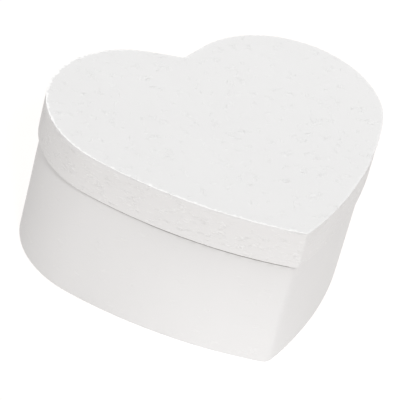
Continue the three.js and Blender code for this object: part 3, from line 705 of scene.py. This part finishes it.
@dataclass
class HeartPlate:
    """A closed heart-shaped sheet or board with rounded edges."""

    plan: HeartPlan
    name: str
    offset: float
    low: float
    high: float
    soften: float
    corner: float
    waviness: float = 0.0
    seed: int = 3
    ragged: float = 0.0
    lip: float = 0.0
    rings: int = 26
    lip_reach: float = 0.5 * MM
    calm_edge: float = 6 * MM
    # How wide the painted highlight along the ragged top edge is.
    highlight_reach: float = 0.72 * MM
    highlight_change: float = 0.36 * MM
    highlight_least: float = 0.22 * MM
    # Where round the outline the edge is raised and painted bright: the left lobe and flank.
    lit_side_middle: float = 0.8
    lit_side_half: float = 0.22
    lit_side_fade: float = 0.015
    lit_side_least: float = 0.2

    def build(self) -> bpy.types.Object:
        """Carries the edge's section round the outline and closes both faces at a middle point.

        The faces are rings that shrink towards the middle point, which lies where every part of
        the outline can be seen.

        Returns:
            The piece, with an "edge" attribute that is 1 on the rim, where the material paints a highlight.
        """
        middle = np.array([0.0, self.plan.shift_y - 12 * MM])
        edge = self._edge()
        loops = np.stack([self.plan.outline(offset, self.soften) for offset, _ in edge])
        columns = loops.shape[1]
        s = np.arange(columns) / columns
        fray = waves(s, 0.0, self.seed + 2, (50, 230)) + 0.7 * waves(s, 0.0, self.seed + 4, (5, 20))
        outward = loops - middle
        outward /= np.linalg.norm(outward, axis=-1, keepdims=True)
        loops = loops + outward * (self.ragged * fray)[None, :, None]
        shrink = self._shrink(np.linalg.norm(loops[-1] - middle, axis=-1).mean())[:, None, None]
        inner = middle + shrink * (loops[-1] - middle)
        under = middle + shrink[::-1] * (loops[0] - middle)
        rings = np.concatenate([under, loops, inner])
        distance = np.linalg.norm(rings - loops[-1][None], axis=-1)
        flat = np.concatenate([np.full(len(under), self.low), edge[:, 1], np.full(len(inner), self.high)])
        heights = flat[:, None] + self._rise(rings, distance, fray, s)
        points = np.concatenate([rings, heights[..., None]], -1).reshape(-1, 3)
        poles = np.array([[*middle, self.low], [*middle, self.high + self.waviness * 0.2]])
        quads = grid_faces(len(rings), columns, False)
        fans = self._fans(len(rings), columns)
        made = mesh_object(self.name, np.concatenate([points, poles]), quads, fans)
        # The edge attribute carries the painted highlight along the ragged top edge.
        mark(made, "edge", np.concatenate([self._edge_highlight(distance, s).ravel(), [0, 0]]))
        return made

    def _edge(self) -> np.ndarray:
        """The rounded edge's section as (offset, height), from the lower face to the upper one."""
        turn = np.linspace(0, np.pi / 2, 4)
        r = self.corner
        rim = [(self.offset - r + r * math.sin(a), self.low + r - r * math.cos(a)) for a in turn]
        rim += [(self.offset - r + r * math.cos(a), self.high - r + r * math.sin(a)) for a in turn]
        return np.array(rim)

    def _shrink(self, radius: float) -> np.ndarray:
        """How far a face's rings have shrunk: close together by the edge, then wider apart."""
        near = np.linspace(0.15, 1.65, 11) * MM / radius
        far = np.linspace(0, 1, self.rings + 1)[1:-1] ** 1.25
        return 1 - np.concatenate([near, far[far > near[-1] + 0.004]])

    def _upper(self, rows: int) -> np.ndarray:
        """A column that is 1 for the rings of the upper face and the top of its edge, and 0 below."""
        return (np.arange(rows) >= rows // 2 + 1).astype(float)[:, None]

    def _lip_and_highlight(self, s: np.ndarray) -> np.ndarray:
        """How far the edge is raised and painted bright: 1 round the left lobe and flank, and least
        elsewhere.
        """
        outside = np.abs(s - self.lit_side_middle) - self.lit_side_half
        return self.lit_side_least + (1 - self.lit_side_least) / (1 + np.exp(outside / self.lit_side_fade))

    def _rise(self, rings: np.ndarray, distance: np.ndarray, fray: np.ndarray, s: np.ndarray) -> np.ndarray:
        """How far the upper face stands above its flat height.

        It waves gently, less so by the edge, and its rim rises in a small bell-shaped lip whose
        height varies along the edge.

        Args:
            rings: Every ring's points in plan.
            distance: Each point's distance from the upper edge.
            fray: The edge's raggedness at each column.
            s: The way round the outline at each column.

        Returns:
            The rise at each point, which is 0 below the edge's middle.
        """
        swell = waves(rings[..., 0] / BOX_WIDTH, rings[..., 1] / BOX_WIDTH, self.seed, (1, 4), (0.5, 3.5))
        raised = np.exp(-((distance / self.lip_reach) ** 2)) * (self._lip_and_highlight(s) * (0.75 + 0.5 * fray))[None]
        fade = np.clip(distance / self.calm_edge, 0, 1)
        return self._upper(len(rings)) * (self.waviness * swell * fade + self.lip * raised)

    def _edge_highlight(self, distance: np.ndarray, s: np.ndarray) -> np.ndarray:
        """The painted highlight along the ragged edge: 1 on the rim, falling off steeply at a notched
        width.
        """
        notches = waves(s, 0.0, self.seed + 6, (18, 75)) + waves(s, 0.0, self.seed + 8, (90, 210))
        width = np.maximum(self.highlight_reach + self.highlight_change * notches, self.highlight_least)
        return np.exp(-((distance / width) ** 6)) * self._upper(len(distance)) * self._lip_and_highlight(s)[None, :]

    def _fans(self, rows: int, columns: int) -> np.ndarray:
        """The two fans of triangles that join the smallest rings to the middle points."""
        j = np.arange(columns)
        over = (j + 1) % columns
        last = (rows - 1) * columns
        below, above = (np.full(columns, rows * columns + pole) for pole in (0, 1))
        lower = np.stack([below, over, j], -1)
        upper = np.stack([above, last + j, last + over], -1)
        return np.concatenate([lower, upper])


def dress(made: bpy.types.Object, material: bpy.types.Material) -> None:
    """Gives a piece one material on all its faces."""
    made.data.materials.clear()
    made.data.materials.append(material)


def commission(
    made: bpy.types.Object, material: bpy.types.Material, body: str, slot: str, *nodes: str
) -> None:
    """Gives a new piece its material and its body, and has it stand for its nodes."""
    dress(made, material)
    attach(made, body)
    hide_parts(*nodes)
    LOG.info("%s: %d faces on %s", made.name, len(made.data.polygons), body)


# ---------------------------------------------------------------- the box


@dataclass(frozen=True)
class RimShadowPaint:
    """Painted shadow line and painted shade on the paper of the base's left flank, below the lid's rim.

    The way round the outline, s, runs from 0 to 1 anticlockwise from the tip, so the left flank
    comes last. Heights are in millimetres above the painted shadow line.
    """

    line_start: float = 0.77
    line_onset: float = 0.015
    line_growth: float = 0.12
    line_least: float = 0.4
    crease_width: float = 0.2
    past_tip: float = 0.006
    shade_start: float = 0.8
    shade_growth: float = 0.1
    tone_strength: float = 0.085
    tone_fade: float = 5.0
    blotch_strength: float = 0.1
    blotch_height: float = -0.6
    blotch_spread: float = 0.9

    def shadow_line(self, s: np.ndarray, above: np.ndarray) -> np.ndarray:
        """The painted shadow line: a bell curve in height, which starts where the left lobe ends and grows
        to the tip.
        """
        past = np.clip(1 - s / self.past_tip, 0, 1)
        onset = np.clip((s - self.line_start) / self.line_onset, 0, 1)
        growth = np.clip((s - self.line_start) / self.line_growth, 0, 1)
        along = np.maximum(onset * (self.line_least + (1 - self.line_least) * growth), past)
        return along * np.exp(-((above / self.crease_width) ** 2))

    def shade_below(self, s: np.ndarray, above: np.ndarray) -> np.ndarray:
        """Painted shade below the shadow line: a faint tone that fades downwards, with small blotches just
        below the line.
        """
        past = np.clip(1 - s / self.past_tip, 0, 1)
        along = np.maximum(np.clip((s - self.shade_start) / self.shade_growth, 0, 1), past)
        blotch = np.clip(0.5 + 0.8 * waves(s, above / 10, 31, (30, 130), (0.5, 3)), 0, 1)
        band = np.exp(-(((above - self.blotch_height) / self.blotch_spread) ** 2))
        tone = self.tone_strength * np.exp(np.minimum(above, 0) / self.tone_fade)
        return along * (self.blotch_strength * blotch * band + tone)


@dataclass
class PaperBox:
    """The heart-shaped base and its loose lid."""

    plan: HeartPlan
    wall: float = 2.0 * MM
    paper: float = 0.3 * MM
    gap: float = 0.3 * MM
    rim: float = 0.8 * MM
    body_soften: float = 2.0 * MM
    # How far below the lid's rim the painted shadow line lies.
    shadow_line_drop: float = 1.3 * MM
    lid_soften: float = 0.75 * MM
    board_corner: float = 0.3 * MM
    wall_corner: float = 0.7 * MM
    wrap_corner: float = 0.14 * MM
    band_corner: float = 0.16 * MM
    wall_ripple: float = 0.06 * MM
    wall_seed: int = 11
    ledge_faces: tuple[float, float] = (-2.2 * MM, -4.2 * MM)
    band_ripple: float = 0.05 * MM
    band_seed: int = 21
    band_overhang: float = 0.15 * MM
    # The painted shadow line and shade on the base's paper below the lid's rim.
    rim_shadow_paint: RimShadowPaint = RimShadowPaint()

    def build(self, shop: Workshop) -> None:
        """Builds every piece of board and paper."""
        self._base(shop)
        self._lid(shop)

    def _base(self, shop: Workshop) -> None:
        """The wall, its paper and the ledge that carries the floor."""
        low, high = (corner.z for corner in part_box("base_wall"))
        ripple = {"ripple": self.wall_ripple, "ripple_seed": self.wall_seed}
        section = rounded_section(0.0, -self.wall, low, high, self.wall_corner, 10)
        board = HeartShell(self.plan, "side_wall", section, self.body_soften, **ripple).build()
        commission(board, shop.material(Finish.LINING), "base", "board", "base_wall")
        section = rounded_section(self.paper, 0.0, low, high - 0.2 * MM, self.wrap_corner, 24)
        section = self._rows_at_shadow_line(section)
        wrap = HeartShell(self.plan, "side_paper", section, self.body_soften, **ripple).build()
        # Painted shadow line and shade on the paper below the lid's rim.
        self._paint_rim_shadow(wrap)
        commission(wrap, shop.material(Finish.WALL_PAPER), "base", "paper", "base_wrap")
        low, high = (corner.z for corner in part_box("floor_ledge"))
        section = rounded_section(*self.ledge_faces, low, high, self.board_corner)
        ledge = HeartShell(self.plan, "floor_ledge_board", section, self.body_soften).build()
        commission(ledge, shop.material(Finish.BOARD), "base", "board", "floor_ledge")

    def _shadow_line_height(self) -> float:
        """The height of the painted shadow line below the lid's rim."""
        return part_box("lid_rim")[0].z - self.shadow_line_drop

    def _rows_at_shadow_line(self, section: np.ndarray) -> np.ndarray:
        """Puts closer rows into the outer face of the wall paper's section, round the painted shadow line.

        Args:
            section: The section's loop of (offset, height), going up the outer face first.

        Returns:
            The loop with the rows put in.
        """
        z = self._shadow_line_height() + np.linspace(-2.4, 0.6, 31) * MM
        outside = section[:, 0] > 0.5 * self.paper
        below = section[outside & (section[:, 1] < z[0])]
        above = section[outside & (section[:, 1] > z[-1])]
        rows = np.stack([np.full(len(z), self.paper), z], -1)
        return np.concatenate([below, rows, above, section[~outside]])

    def _paint_rim_shadow(self, wrap: bpy.types.Object) -> None:
        """Puts the painted shadow line and the painted shade below it in an attribute, on the paper's outer
        face only.

        Args:
            wrap: The paper round the base, whose rings all start at the tip.
        """
        points = np.zeros(3 * len(wrap.data.vertices), np.float32)
        wrap.data.vertices.foreach_get("co", points)
        points = points.reshape(-1, 3)
        outline = self.plan.outline(self.paper, self.body_soften)
        rings = len(points) // len(outline)
        s = np.tile(np.arange(len(outline)) / len(outline), rings)
        depth = np.linalg.norm(points[:, :2] - np.tile(outline, (rings, 1)), axis=1)
        above = (points[:, 2] - self._shadow_line_height()) / MM
        rim_shadow = np.maximum(self.rim_shadow_paint.shadow_line(s, above), self.rim_shadow_paint.shade_below(s, above))
        mark(wrap, "rim_shadow", rim_shadow * (depth < 0.5 * self.paper))

    def _lid(self, shop: Workshop) -> None:
        """The rim and its paper, and then the top."""
        inner = self.paper + self.gap
        outer = inner + self.rim + self.paper
        low, high = (corner.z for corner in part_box("lid_rim"))
        section = rounded_section(inner + self.rim, inner, low, high, self.board_corner)
        rim = HeartShell(self.plan, "lid_rim_board", section, self.lid_soften).build()
        commission(rim, shop.material(Finish.LINING), "lid", "board", "lid_rim")
        back = inner + self.rim - 0.02 * MM
        section = rounded_section(outer, back, low - self.band_overhang, high, self.band_corner, 14)
        band = HeartShell(
            self.plan,
            "lid_rim_paper",
            section,
            self.lid_soften,
            ripple=self.band_ripple,
            ripple_seed=self.band_seed,
            ragged=self.band_ripple,
            ragged_height=low - 0.1 * MM,
        ).build()
        commission(band, shop.material(Finish.RIM_PAPER), "lid", "paper", "lid_rim_wrap")
        self._top(shop, inner, outer)

    def _top(self, shop: Workshop, inner: float, outer: float) -> None:
        """The board that closes the rim, and the sheet over it.

        Args:
            shop: Where the materials come from.
            inner: The offset of the rim's inner face.
            outer: The offset of the rim's papered outer face.
        """
        low, high = (corner.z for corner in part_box("lid_board"))
        board = HeartPlate(
            self.plan, "lid_inner_board", inner - 0.2 * MM, low, high, self.lid_soften, 0.4 * MM, rings=14
        ).build()
        commission(board, shop.material(Finish.LINING), "lid", "board", "lid_board")
        low, high = (corner.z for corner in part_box("lid_top_sheet"))
        sheet = HeartPlate(
            self.plan,
            "lid_top_paper",
            outer,
            low,
            high,
            self.lid_soften,
            0.14 * MM,
            waviness=0.1 * MM,
            ragged=0.11 * MM,
            lip=0.22 * MM,
            rings=60,
        ).build()
        commission(sheet, shop.material(Finish.TOP_PAPER), "lid", "paper", "lid_top_sheet")


# ---------------------------------------------------------------- the movement


def build_shading_group(crisp: float) -> bpy.types.NodeTree:
    """A geometry group that shades smooth, but keeps every edge sharper than an angle crisp.

    Args:
        crisp: The angle, in degrees.

    Returns:
        The group, which takes and gives a geometry.
    """
    group = bpy.data.node_groups.new("shade_by_angle", "GeometryNodeTree")
    group.interface.new_socket("Geometry", in_out="INPUT", socket_type="NodeSocketGeometry")
    group.interface.new_socket("Geometry", in_out="OUTPUT", socket_type="NodeSocketGeometry")
    nodes, links = group.nodes, group.links
    source, sink = nodes.new("NodeGroupInput"), nodes.new("NodeGroupOutput")
    angle = nodes.new("GeometryNodeInputMeshEdgeAngle")
    test = nodes.new("FunctionNodeCompare")
    test.operation = "LESS_THAN"
    test.inputs["B"].default_value = math.radians(crisp)
    faces, edges = nodes.new("GeometryNodeSetShadeSmooth"), nodes.new("GeometryNodeSetShadeSmooth")
    faces.domain, edges.domain = "FACE", "EDGE"
    links.new(angle.outputs["Unsigned Angle"], test.inputs["A"])
    links.new(source.outputs[0], faces.inputs["Geometry"])
    links.new(faces.outputs[0], edges.inputs["Geometry"])
    links.new(test.outputs[0], edges.inputs["Shade Smooth"])
    links.new(edges.outputs[0], sink.inputs[0])
    return group


@dataclass
class Movement:
    """The movement and the floor under it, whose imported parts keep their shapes."""

    parts: dict[Finish, tuple[str, ...]]
    soft_edge: float = 0.1 * MM
    soft_angle: float = 40.0
    crisp_angle: float = 38.0
    weld_reach: float = 0.002 * MM

    def build(self, frame: dict, shop: Workshop) -> None:
        """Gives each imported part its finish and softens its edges."""
        shading = build_shading_group(self.crisp_angle)
        for finish, names in self.parts.items():
            for name in names:
                dress(frame["nodes"][name], shop.material(finish))
                self._soften(frame["nodes"][name], shading)
                LOG.info("%s: %s", name, finish.name.lower())

    def _soften(self, node: bpy.types.Object, shading: bpy.types.NodeTree) -> None:
        """Breaks a part's sharp edges and shades its round faces smooth."""
        weld = node.modifiers.new("merge", "WELD")
        weld.merge_threshold = self.weld_reach
        bevel = node.modifiers.new("broken_edge", "BEVEL")
        bevel.width = self.soft_edge
        bevel.segments = 2
        bevel.limit_method = "ANGLE"
        bevel.angle_limit = math.radians(self.soft_angle)
        bevel.use_clamp_overlap = True
        node.modifiers.new("shade_by_angle", "NODES").node_group = shading


MOVEMENT_PARTS = {
    Finish.LINING: ("base_floor",),
    Finish.ZINC: ("bedplate", "spring_housing", "governor_frame", "end_cap"),
    Finish.BRONZE: ("arbor_bush", "cylinder_bush"),
    Finish.STEEL: (
        "winding_arbor",
        "winding_key",
        "cylinder_arbor",
        "comb",
        "intermediate_pinion",
        "worm_shaft",
        "stop_lever",
        "comb_screw_1",
        "comb_screw_2",
        "housing_screw_1",
        "housing_screw_2",
        "governor_screw_1",
        "governor_screw_2",
        "end_cap_screw",
        "stop_screw",
        "mounting_screw_1",
        "mounting_screw_2",
        "mounting_screw_3",
    ),
    Finish.BRASS: ("great_wheel", "cylinder", "cylinder_pinion", "cylinder_gear", "fan"),
    Finish.BLUED: ("mainspring",),
    Finish.NYLON: ("cylinder_cap_left", "cylinder_cap_right", "worm_wheel"),
}


# ---------------------------------------------------------------- the studio


@dataclass(frozen=True)
class Studio:
    """A pale table in an even white room, with two broad lights and a soft panel at the side."""

    azimuth: float = -34.84
    elevation: float = 37.23
    roll: float = 15.07
    distance: float = 1.3328
    lens: float = 282.6
    aim: tuple[float, float, float] = (0.0, 0.0207, 0.0295)
    slide: tuple[float, float] = (0.00147, -0.00766)
    room: Colour = (1.0, 0.985, 0.97)
    room_strength: float = 0.32
    table_reach: float = 6.0
    table_dark: Colour = (0.15, 0.148, 0.146)
    table_light: Colour = (0.17, 0.168, 0.166)
    glow_near: Colour = (0.895, 0.877, 0.863)
    glow_far: Colour = (0.64, 0.62, 0.6)
    glow_peak: Colour = (1.3, 1.29, 1.28)
    peak_place: tuple[float, float, float] = (-0.035, -0.09, 0.0)
    peak_radius: float = 0.085

    def build(self) -> None:
        """Makes the camera, the table and the lights."""
        self._camera()
        self._table()
        self._lights()

    def _camera(self) -> None:
        """A long lens above the heart's left flank, rolled a little."""
        a, e, roll = (math.radians(v) for v in (self.azimuth, self.elevation, self.roll))
        right = Vector((math.cos(a), math.sin(a), 0))
        back = Vector((math.sin(a) * math.cos(e), -math.cos(a) * math.cos(e), math.sin(e)))
        up = back.cross(right)
        x = math.cos(roll) * right + math.sin(roll) * up
        y = math.cos(roll) * up - math.sin(roll) * right
        data = bpy.data.cameras.new("camera")
        data.lens = self.lens
        data.sensor_width = 36.0
        data.clip_start, data.clip_end = 0.05, 20.0
        camera = bpy.data.objects.new("camera", data)
        bpy.context.scene.collection.objects.link(camera)
        turn = Matrix((x, y, back)).transposed().to_4x4()
        place = Vector(self.aim) + back * self.distance + x * self.slide[0] + y * self.slide[1]
        camera.matrix_world = Matrix.Translation(place) @ turn
        bpy.context.scene.camera = camera

    def _table(self) -> None:
        """A wide pale table that glows faintly, a little more just before the heart's tip."""
        corners = self.table_reach * np.array([[-1, -1, 0], [1, -1, 0], [1, 1, 0], [-1, 1, 0]], float)
        table = mesh_object("table", corners, np.array([[0, 1, 2, 3]]))
        material, sheet, shader = new_material("pale_table")
        place = sheet.add("TexCoord").outputs["Object"]
        cloud = sheet.mottle(place, TABLE_CLOUDS)
        reach = sheet.add("VectorMath", {0: place}, operation="LENGTH").outputs["Value"]
        glow = sheet.blend(sheet.ramp(reach, 0.4, 1.0), self.glow_near, self.glow_far)
        peak = sheet.add("VectorMath", {0: place, 1: self.peak_place}, operation="DISTANCE")
        nearness = sheet.ramp(peak.outputs["Value"], self.peak_radius, 0.0)
        looks = {
            "Base Color": sheet.blend(cloud, self.table_dark, self.table_light),
            "Emission Color": sheet.blend(nearness, glow, self.glow_peak),
            "Emission Strength": 1.0,
            "Roughness": 0.9,
            "Specular IOR Level": 0.0,
        }
        sheet.feed(shader, looks)
        dress(table, material)

    def _lights(self) -> None:
        """The room, the key light in front, the overhead light and the side panel."""
        scene = bpy.context.scene
        scene.view_settings.view_transform = "Standard"
        world = bpy.data.worlds.new("room")
        world.use_nodes = True
        sky = world.node_tree.nodes["Background"]
        sky.inputs["Color"].default_value = (*self.room, 1.0)
        sky.inputs["Strength"].default_value = self.room_strength
        scene.world = world
        self._sun("key", (-0.2, -0.65, 0.73), strength=1.3, spread=12.0)
        self._sun("overhead", (0.0, 0.1, 1.0), strength=1.1, spread=60.0)
        self._panel("side", (0.5, 0.3, 0.62), size=0.4, power=0.75)

    def _sun(self, name: str, source: tuple[float, float, float], strength: float, spread: float) -> None:
        """Adds one broad, even light that shines from a direction."""
        data = bpy.data.lights.new(name, "SUN")
        data.energy = strength
        data.angle = math.radians(spread)
        light = bpy.data.objects.new(name, data)
        light.rotation_mode = "QUATERNION"
        light.rotation_quaternion = Vector(source).to_track_quat("Z", "Y")
        bpy.context.scene.collection.objects.link(light)

    def _panel(self, name: str, place: tuple[float, float, float], size: float, power: float) -> None:
        """Adds one square panel of light that faces the box."""
        data = bpy.data.lights.new(name, "AREA")
        data.energy = power
        data.size = size
        light = bpy.data.objects.new(name, data)
        light.location = place
        light.rotation_mode = "QUATERNION"
        light.rotation_quaternion = (Vector(place) - Vector(self.aim)).to_track_quat("Z", "Y")
        bpy.context.scene.collection.objects.link(light)


def main() -> None:
    """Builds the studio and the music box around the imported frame."""
    logging.basicConfig(level=logging.INFO, format="%(message)s")
    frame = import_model()
    Studio().build()
    shop = Workshop()
    PaperBox(HeartPlan()).build(shop)
    Movement(MOVEMENT_PARTS).build(frame, shop)


if __name__ == "__main__":
    main()
